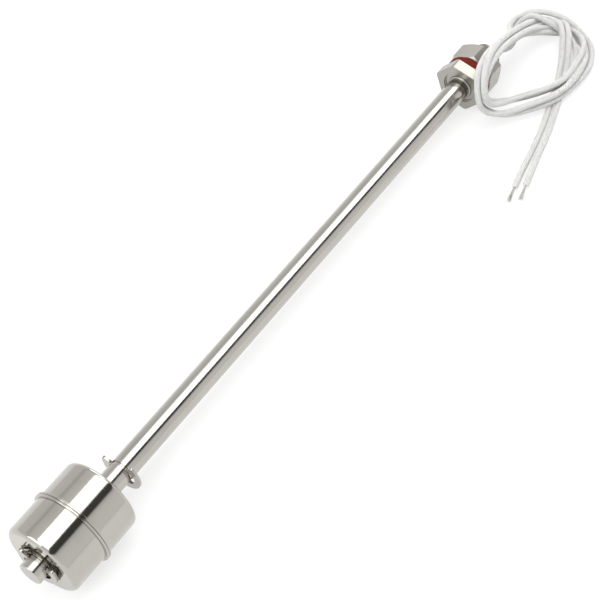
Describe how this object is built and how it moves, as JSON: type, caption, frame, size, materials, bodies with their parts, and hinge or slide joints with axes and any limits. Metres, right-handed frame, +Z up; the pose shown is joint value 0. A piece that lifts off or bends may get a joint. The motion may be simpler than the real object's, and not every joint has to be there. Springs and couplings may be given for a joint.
{
  "type": "float level switch",
  "caption": "Stainless float level switch: a hollow float with a ring magnet slides on a slim closed stem with a reed switch, below a hexagon head with thread, gasket, nut and coiled leads.",
  "frame": {"origin": "on the surface it lies on, under the middle of the rigid switch, leads left out", "axes": "+Z up; +X along the stem's plan, from the float's closed end towards the leads; +Y across"},
  "size_m": [0.2862, 0.0558, 0.028],
  "materials": {
    "steel_polished": "polished stainless steel, faint turning lines",
    "steel_nut": "stainless steel, machined satin",
    "steel_spring": "stainless spring steel, stamped",
    "silicone_red": "red-brown silicone rubber, matte",
    "ferrite": "sintered ferrite, dark grey",
    "nylon_natural": "natural nylon",
    "glass_clear": "clear green-tinted glass",
    "nickel_iron": "nickel-iron wire",
    "tinned_copper": "tinned copper strands",
    "solder": "tin solder",
    "sleeve_clear": "shrink sleeve, translucent",
    "potting_resin": "epoxy resin, dark",
    "glass_braid_white": "white braided glass fibre"
  },
  "bodies": {
    "stem": {"stem_tube": "steel_polished", "stem_end_plug": "steel_polished", "mounting_head": "steel_polished", "lower_retaining_ring": "steel_spring", "upper_retaining_ring": "steel_spring", "sealing_gasket": "silicone_red", "reed_glass": "glass_clear", "reed_blade_lower": "nickel_iron", "reed_blade_upper": "nickel_iron", "return_wire": "tinned_copper", "lead_1_conductor": "tinned_copper", "lead_2_conductor": "tinned_copper", "solder_joint_1": "solder", "solder_joint_2": "solder", "insulating_sleeve": "sleeve_clear", "potting_plug": "potting_resin", "lead_1_inner": "glass_braid_white", "lead_2_inner": "glass_braid_white", "lead_1_exit": "glass_braid_white", "lead_2_exit": "glass_braid_white", "leads_coil": "glass_braid_white", "lead_1_tail": "glass_braid_white", "lead_2_tail": "glass_braid_white"},
    "float": {"float_lower_shell": "steel_polished", "float_upper_shell": "steel_polished", "float_centre_tube": "steel_polished", "float_magnet": "ferrite", "magnet_spacer_lower": "nylon_natural", "magnet_spacer_upper": "nylon_natural"},
    "nut": {"mounting_nut": "steel_nut"}
  },
  "joints": [
    {"name": "float_slide", "type": "slide", "parent": "stem", "child": "float", "axis": [0.9998, 0, -0.0214], "range_m": [0, 0.0073]},
    {"name": "nut_travel", "type": "slide", "parent": "stem", "child": "nut", "axis": [0.9998, 0, -0.0214], "range_m": [0, 0.0042]}
  ]
}
